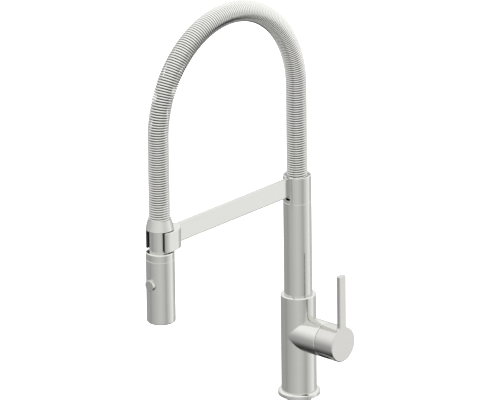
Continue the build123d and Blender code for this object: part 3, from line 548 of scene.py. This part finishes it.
WHITE_PLASTIC = Moulded(
    "white_acetal",
    colour=(0.72, 0.71, 0.68),
    worn=(0.80, 0.79, 0.77),
    roughness=0.4,
)
GREY_PLASTIC = Moulded(
    "grey_silicone",
    colour=(0.20, 0.20, 0.205),
    worn=(0.26, 0.26, 0.265),
    roughness=0.48,
)
CERAMIC = Moulded(
    "valve_ceramic",
    colour=(0.70, 0.66, 0.58),
    worn=(0.76, 0.72, 0.64),
    roughness=0.15,
    skin_depth=0.001 * MM,
)
HOSE_SLEEVE = BraidedSleeve("hose_sleeve")
FLOOR = PaleFloor("studio_floor")


# --- Mesh helpers --------------------------------------------------------------------------------


def new_piece(name: str, mesh: bmesh.types.BMesh, finish: Finish) -> bpy.types.Object:
    """Makes an object of a finished mesh.

    Args:
        name: The piece's name.
        mesh: Its shape, which is freed.
        finish: Its finish.

    Returns:
        The object, smooth shaded, at the origin.
    """
    for face in mesh.faces:
        face.smooth = True
    data = bpy.data.meshes.new(name)
    mesh.to_mesh(data)
    mesh.free()
    data.materials.append(finish.material())
    piece = bpy.data.objects.new(name, data)
    bpy.context.scene.collection.objects.link(piece)
    return piece


def remember_place(mesh: bmesh.types.BMesh) -> None:
    """Keeps each point's place from before the bending, for a finish that follows the piece.

    Args:
        mesh: The straight mesh.
    """
    layer = mesh.verts.layers.float_vector.new(STRAIGHT)
    for vertex in mesh.verts:
        vertex[layer] = vertex.co


@dataclass(frozen=True)
class Helix:
    """A bar wound round the Z axis, such as a spring's wire or the ridge of a thread."""

    coil_radius: float
    bar_radius: float
    pitch: float
    turns: int
    bar_sides: int = 8
    steps_in_turn: int = 28
    turns_in_stretch: int = 4
    weld_share: float = 0.01

    @classmethod
    def whole_stretches(cls, turns: float) -> int:
        """Returns the number of turns in whole stretches that is nearest to turns."""
        return round(turns / cls.turns_in_stretch) * cls.turns_in_stretch

    def wound(self) -> bmesh.types.BMesh:
        """Winds one stretch of the bar upwards from Z 0 and repeats it end to end.

        Returns:
            The mesh, with closed ends.
        """
        mesh = bmesh.new()
        circle = bmesh.ops.create_circle(mesh, segments=self.bar_sides, radius=self.bar_radius)
        bar = circle["verts"]
        upright = Matrix.Rotation(math.pi / 2, 3, "X")
        bmesh.ops.rotate(mesh, verts=bar, cent=(0, 0, 0), matrix=upright)
        bmesh.ops.translate(mesh, verts=bar, vec=(self.coil_radius, 0, self.bar_radius))
        bmesh.ops.spin(
            mesh,
            geom=mesh.verts[:] + mesh.edges[:],
            cent=(0, 0, 0),
            axis=(0, 0, 1),
            dvec=(0, 0, self.pitch / self.steps_in_turn),
            angle=math.tau * self.turns_in_stretch,
            steps=self.turns_in_stretch * self.steps_in_turn,
            use_merge=False,
            use_duplicate=False,
        )
        stretch = mesh.verts[:] + mesh.edges[:] + mesh.faces[:]
        for turns_below in range(self.turns_in_stretch, self.turns, self.turns_in_stretch):
            copy = bmesh.ops.duplicate(mesh, geom=stretch)["geom"]
            copied = [item for item in copy if isinstance(item, bmesh.types.BMVert)]
            bmesh.ops.translate(mesh, verts=copied, vec=(0, 0, turns_below * self.pitch))
        weld = self.bar_radius * self.weld_share
        bmesh.ops.remove_doubles(mesh, verts=mesh.verts[:], dist=weld)
        open_edges = [edge for edge in mesh.edges if edge.is_boundary]
        for edge in open_edges:
            edge.smooth = False
        bmesh.ops.holes_fill(mesh, edges=open_edges, sides=self.bar_sides)
        bmesh.ops.recalc_face_normals(mesh, faces=mesh.faces[:])
        return mesh


# --- Sub-assemblies ------------------------------------------------------------------------------


@dataclass(frozen=True)
class ArchRoute:
    """The centre line of the arch: up the column, over a half circle and down to the spray."""

    foot: float
    spring_line: float
    radius: float
    tip: float

    @property
    def rise(self) -> float:
        """The straight length on the column side."""
        return self.spring_line - self.foot

    @property
    def sweep(self) -> float:
        """The length of the half circle."""
        return math.pi * self.radius

    @property
    def half_way(self) -> float:
        """The length up to the top of the arch."""
        return self.rise + self.sweep / 2

    @property
    def length(self) -> float:
        """The whole length."""
        return self.rise + self.sweep + self.spring_line - self.tip

    def place(self, straight: Vector) -> Vector:
        """Bends one point of a piece that stands along Z.

        Args:
            straight: The point across, outward of the arch and along the piece.

        Returns:
            The point on the arch.
        """
        across, outward, along = straight
        past_arch = along - self.rise - self.sweep
        if along <= self.rise:
            return Vector((across, outward, self.foot + along))
        if past_arch >= 0:
            return Vector((across, -2 * self.radius - outward, self.spring_line - past_arch))
        turn = (along - self.rise) / self.radius
        reach = self.radius + outward
        back = reach * math.cos(turn) - self.radius
        return Vector((across, back, self.spring_line + reach * math.sin(turn)))


@dataclass
class SubAssembly:
    """Pieces that belong together: the finishes of their CAD nodes, and any new pieces."""

    finishes: dict[str, Finish] = field(default_factory=dict)

    def dress(self) -> None:
        """Gives each CAD node of the sub-assembly its finish."""
        for node, finish in self.finishes.items():
            for slot in frame["nodes"][node].material_slots:
                slot.material = finish.material()
            LOG.info("%s: %s has the finish %s", type(self).__name__, node, finish.name)

    def build(self) -> None:
        """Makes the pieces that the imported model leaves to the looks; most have none."""


@dataclass
class DeckMount(SubAssembly):
    """What holds the faucet to the worktop: flange, gasket, threaded shank, washers and nut."""

    finishes: dict[str, Finish] = field(
        default_factory=lambda: {
            "base_flange": SATIN_ROUND,
            "base_gasket": RUBBER,
            "mounting_shank": PLATED,
            "deck_washer": RUBBER,
            "clamp_washer": PLATED,
            "mounting_nut": BRASS_UPRIGHT,
            "clamp_screws": PLATED,
        }
    )
    thread_pitch: float = 1.5 * MM
    thread_height: float = 0.35 * MM
    thread_top: float = -2.0 * MM
    thread_sides: int = 4
    thread_steps: int = 48

    def build(self) -> None:
        """Winds the thread's ridge round the shank."""
        low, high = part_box("mounting_shank")
        ridge_bar = self.thread_pitch / 2
        shank_radius = high.x
        turns = Helix.whole_stretches((self.thread_top - low.z - 2 * ridge_bar) / self.thread_pitch)
        ridge = Helix(
            coil_radius=shank_radius + self.thread_height - ridge_bar,
            bar_radius=ridge_bar,
            pitch=self.thread_pitch,
            turns=turns,
            bar_sides=self.thread_sides,
            steps_in_turn=self.thread_steps,
        ).wound()
        bmesh.ops.translate(ridge, verts=ridge.verts[:], vec=(0, 0, low.z))
        piece = new_piece("shank_thread", ridge, PLATED)
        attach(piece, "base")
        LOG.info("DeckMount: shank_thread has %d turns", turns)


@dataclass
class MixerBody(SubAssembly):
    """The cast body with the mixing cartridge in its side socket."""

    finishes: dict[str, Finish] = field(
        default_factory=lambda: {
            "body_casting": SATIN_ROUND,
            "column_lock_screw": PLATED,
            "thrust_washer": WHITE_PLASTIC,
            "cartridge_base": WHITE_PLASTIC,
            "cartridge_seals": RUBBER,
            "fixed_disc": CERAMIC,
            "moving_disc": CERAMIC,
            "cartridge_housing": WHITE_PLASTIC,
            "stem_carrier": WHITE_PLASTIC,
            "pivot_pin": PLATED,
            "retaining_nut": BRASS_LEVER,
            "trim_dome": CHROME,
        }
    )


@dataclass
class LeverHandle(SubAssembly):
    """The handle that tilts for flow and turns for temperature."""

    finishes: dict[str, Finish] = field(
        default_factory=lambda: {
            "handle": SATIN_LEVER_PAINTED_SHADE,
            "handle_set_screw": PLATED,
            "handle_plug": GREY_PLASTIC,
            "cartridge_stem": BRASS_LEVER,
        }
    )


@dataclass
class Column(SubAssembly):
    """The swivelling column with its spigot, sleeve and spring socket."""

    finishes: dict[str, Finish] = field(
        default_factory=lambda: {
            "swivel_spigot": BRASS_UPRIGHT,
            "spigot_seals": RUBBER,
            "column_tube": SATIN_ROUND,
            "arm_sleeve": SATIN_ROUND,
            "spring_socket": PLATED,
            "column_nipple": BRASS_UPRIGHT,
            "column_crimp": CHROME,
        }
    )


@dataclass
class SupportArm(SubAssembly):
    """The flat arm and the open holder that docks the spray."""

    finishes: dict[str, Finish] = field(
        default_factory=lambda: {
            "support_arm": SATIN_ARM,
            "holder_block": SATIN_ROUND,
            "holder_liner": BLACK_PLASTIC,
            "arm_screws": PLATED,
        }
    )


@dataclass
class SpringArch(SubAssembly):
    """The coil spring that guards the hose over the arch, and the hose inside it."""

    finishes: dict[str, Finish] = field(
        default_factory=lambda: {
            "spring_ferrule": SATIN_ROUND,
            "spray_neck": SATIN_ROUND,
            "neck_seal": RUBBER,
            "spray_nipple": BRASS_UPRIGHT,
            "spray_crimp": CHROME,
        }
    )
    wire_radius: float = 1.18 * MM
    pitch: float = 2.865 * MM
    socket_floor: float = 2.0 * MM
    ferrule_floor: float = 3.8 * MM
    hose_sides: int = 32
    hose_step: float = 4.0 * MM
    bend_above: float = 50.0 * MM
    bend_below: float = 45.0 * MM

    def _route(self, foot: float, tip: float) -> ArchRoute:
        """Makes the arch's route from the joint that it hangs on.

        Args:
            foot: Where it starts on the column side.
            tip: Where it ends on the spray side.

        Returns:
            The route.
        """
        swing = next(joint for joint in frame["joints"] if joint["name"] == "spray_swing")
        _, y, z = swing["pos_m"]
        return ArchRoute(foot=foot, spring_line=z, radius=-y / 2, tip=tip)

    def _spring_foot(self) -> float:
        """Returns the height of the ring floor that the spring stands on."""
        socket_low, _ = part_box("spring_socket")
        return socket_low.z + self.socket_floor

    def build(self) -> None:
        """Makes the spring and the hose, each in a half on the column and a half over the spray."""
        self._build_spring()
        self._build_hose()

    def _bend(self, piece: bpy.types.Object, route: ArchRoute) -> None:
        """Bakes the place of a piece on the spray side into its mesh, and works out the place that
        it hangs on, which nothing uses.

        Args:
            piece: The piece.
            route: The arch's route.
        """
        hang = Vector((0, -2 * route.radius, route.spring_line))
        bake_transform(piece)

    def _build_spring(self) -> None:
        """Winds the spring in two halves that meet at the top of the arch."""
        _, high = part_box("guard_spring")
        ferrule_low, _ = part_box("spring_ferrule")
        route = self._route(self._spring_foot(), ferrule_low.z + self.ferrule_floor)
        turns = Helix.whole_stretches((route.length - 2 * self.wire_radius) / self.pitch)
        pitch = (route.length - 2 * self.wire_radius) / turns
        column_turns = Helix.whole_stretches(route.half_way / pitch)
        halves = (("coil_on_column", 0, column_turns), ("coil_over_spray", column_turns, turns))
        for name, first, last in halves:
            coil = Helix(high.x - self.wire_radius, self.wire_radius, pitch, last - first).wound()
            bmesh.ops.translate(coil, verts=coil.verts[:], vec=(0, 0, first * pitch))
            remember_place(coil)
            for vertex in coil.verts:
                vertex.co = route.place(vertex.co)
            piece = new_piece(name, coil, SPRING_WIRE_PAINTED_HIGHLIGHT)
            if first:
                self._bend(piece, route)
            else:
                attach(piece, "column")
            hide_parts("guard_spring")
            LOG.info("SpringArch: %s has %d turns", name, last - first)

    def _hose(self, name: str, route: ArchRoute, radius: float, ends: Band) -> bpy.types.Object:
        """Makes one length of the hose.

        Args:
            name: The piece's name.
            route: Its centre line.
            radius: Its outer radius.
            ends: How far along the route it starts and ends.

        Returns:
            The piece, on no body yet.
        """
        start, end = ends
        mesh = bmesh.new()
        bmesh.ops.create_cone(
            mesh,
            cap_ends=True,
            segments=self.hose_sides,
            radius1=radius,
            radius2=radius,
            depth=end - start,
            matrix=Matrix.Translation((0, 0, (start + end) / 2)),
        )
        upright = [edge for edge in mesh.edges if edge.calc_length() > self.hose_step]
        cuts = int((end - start) / self.hose_step)
        bmesh.ops.subdivide_edges(mesh, edges=upright, cuts=cuts, use_grid_fill=True)
        remember_place(mesh)
        for vertex in mesh.verts:
            vertex.co = route.place(vertex.co)
        return new_piece(name, mesh, HOSE_SLEEVE)

    def _build_hose(self) -> None:
        """Makes the hose in two halves that meet at the top of the arch."""
        low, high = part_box("inner_hose")
        _, ferrule_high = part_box("spring_ferrule")
        route = self._route(low.z, ferrule_high.z)
        radius = high.z - route.spring_line - route.radius
        on_column = self._hose("hose_on_column", route, radius, (0.0, route.half_way))
        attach(on_column, "column")
        over_spray = self._hose("hose_over_spray", route, radius, (route.half_way, route.length))
        self._bend(over_spray, route)
        for piece in (on_column, over_spray):
            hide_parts("inner_hose")
            LOG.info("SpringArch: %s has %d faces", piece.name, len(piece.data.polygons))


@dataclass
class SprayHead(SubAssembly):
    """The turning spray head with its two jets and the button that chooses between them."""

    finishes: dict[str, Finish] = field(
        default_factory=lambda: {
            "spray_shell": SATIN_ROUND,
            "spray_collar": SATIN_ROUND,
            "swivel_bearing": WHITE_PLASTIC,
            "spray_waterway": WHITE_PLASTIC,
            "check_valve": WHITE_PLASTIC,
            "spray_face": GREY_PLASTIC,
            "nozzle_ring": GREY_PLASTIC,
            "aerator": GREY_PLASTIC,
            "button_spring": SPRING_WIRE_PAINTED_HIGHLIGHT,
            "diverter_button": SATIN_ROUND,
            "button_seal": RUBBER,
        }
    )


# --- Studio --------------------------------------------------------------------------------------


class SoftPanel(Enum):
    """The soft panels and the gaps between them, round the faucet: bearing in degrees, level."""

    BEHIND_LEFT = (-180.0, 0.43)
    LEFT = (-154.0, 0.47)
    GAP_LEFT = (-136.0, 0.41)
    FRONT_LEFT = (-120.0, 0.52)
    FRONT = (-53.0, 0.75)
    FRONT_RIGHT = (-30.0, 0.69)
    GAP_RIGHT = (-3.0, 0.52)
    RIGHT_NEAR = (15.0, 0.74)
    KEY = (56.0, 1.18)
    KEY_EDGE = (70.0, 0.72)
    BEHIND_RIGHT = (92.0, 0.68)
    BEHIND = (132.0, 0.57)


@dataclass(frozen=True)
class Studio:
    """The floor and the soft light round the faucet."""

    floor_size: float = 30.0
    floor_gap: float = 2.0 * MM
    top_level: float = 1.22
    top_band: Band = (-0.40, 0.62)
    floor_level: float = 0.03
    near_floor_band: Band = (-0.86, -0.42)
    far_floor_band: Band = (-0.62, -0.38)
    near_to_far: Band = (-0.1, 0.25)
    below_level: float = 0.42
    below_band: Band = (-0.97, -0.84)
    white: Colour = (1.0, 1.0, 1.0)

    def build(self) -> None:
        """Lays the floor and lights the world."""
        self._lay_floor()
        self._light_world()

    def _lay_floor(self) -> None:
        """Lays a wide pale floor under the lowest piece."""
        low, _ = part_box("mounting_shank")
        mesh = bmesh.new()
        bmesh.ops.create_grid(
            mesh,
            x_segments=1,
            y_segments=1,
            size=self.floor_size / 2,
            matrix=Matrix.Translation((0, 0, low.z - self.floor_gap)),
        )
        floor = new_piece("studio_floor", mesh, FLOOR)
        floor.visible_glossy = False
        floor.visible_diffuse = False

    def _light_world(self) -> None:
        """Lights the faucet from a ring of soft panels, a bright top and a floor."""
        world = bpy.data.worlds.new("studio_light")
        bpy.context.scene.world = world
        world.use_nodes = True
        graph = NodeGraph(world.node_tree)
        x, y, height = graph.axes(graph.output("ShaderNodeTexCoord", name="Generated"))
        turn = y.bearing(x) / math.tau + MIDDLE
        first_level = SoftPanel.BEHIND_LEFT.value[1]
        panels = [panel.value for panel in SoftPanel] + [(FULL_TURN / 2, first_level)]
        stops = [(bearing / FULL_TURN + MIDDLE, (level,) * 3) for bearing, level in panels]
        settings = {"stops": stops}
        ring = graph.value("ShaderNodeValToRGB", settings, {"Fac": turn}, "Color")
        to_top = height.eased(*self.top_band)
        near_floor = height.eased(*self.near_floor_band)
        far_floor = height.eased(*self.far_floor_band)
        above_floor = near_floor + (far_floor - near_floor) * y.eased(*self.near_to_far)
        below = 1 - height.eased(*self.below_band)
        walls = ring * (1 - to_top) + self.top_level * to_top
        shade = self.floor_level + (1 - self.floor_level) * above_floor
        light = walls * shade + self.below_level * below
        lit = graph.output("ShaderNodeBackground", sockets={"Color": self._grey(graph, light)})
        plain = graph.output("ShaderNodeBackground", sockets={"Color": (*self.white, 1.0)})
        seen = graph.output("ShaderNodeLightPath", name="Is Camera Ray")
        mixed = graph.output("ShaderNodeMixShader", sockets={0: seen, 1: lit, 2: plain})
        graph.node("ShaderNodeOutputWorld", sockets={"Surface": mixed})

    def _grey(self, graph: NodeGraph, level: Value) -> bpy.types.NodeSocket:
        """Makes a grey of a level that may be over 1.

        Args:
            graph: The graph to add it to.
            level: How bright the grey is.

        Returns:
            The colour.
        """
        sockets = {0: self.white, "Scale": level}
        return graph.output("ShaderNodeVectorMath", {"operation": "SCALE"}, sockets, "Vector")


@dataclass(frozen=True)
class Viewpoint:
    """Where the camera stands: angles in degrees, lengths in metres, the lens in millimetres."""

    bearing: float = 41.812
    height_angle: float = 20.438
    roll: float = -0.727
    distance: float = 7.6765
    lens: float = 479.92
    aim: tuple[float, float, float] = (0.0050, -0.0881, 0.2680)
    clip_end: float = 100.0

    def build(self) -> None:
        """Sets up the camera."""
        data = bpy.data.cameras.new("studio_camera")
        data.lens = self.lens
        data.clip_end = self.clip_end
        camera = bpy.data.objects.new("studio_camera", data)
        bpy.context.scene.collection.objects.link(camera)
        level = math.pi / 2 - math.radians(self.height_angle)
        turned = Euler((level, 0.0, math.radians(self.bearing))).to_matrix()
        rolled = turned @ Matrix.Rotation(math.radians(self.roll), 3, "Z")
        away = rolled @ Vector((0, 0, self.distance))
        camera.matrix_world = Matrix.Translation(Vector(self.aim) + away) @ rolled.to_4x4()
        bpy.context.scene.camera = camera


def main() -> None:
    """Builds the faucet's sub-assemblies, then the studio and the camera."""
    logging.basicConfig(level=logging.INFO, format="%(message)s")
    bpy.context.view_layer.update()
    assemblies = (
        DeckMount(),
        MixerBody(),
        LeverHandle(),
        Column(),
        SupportArm(),
        SpringArch(),
        SprayHead(),
    )
    for assembly in assemblies:
        assembly.dress()
        assembly.build()
    Studio().build()
    Viewpoint().build()
    bpy.context.scene.view_settings.view_transform = "Standard"


if __name__ == "__main__":
    main()
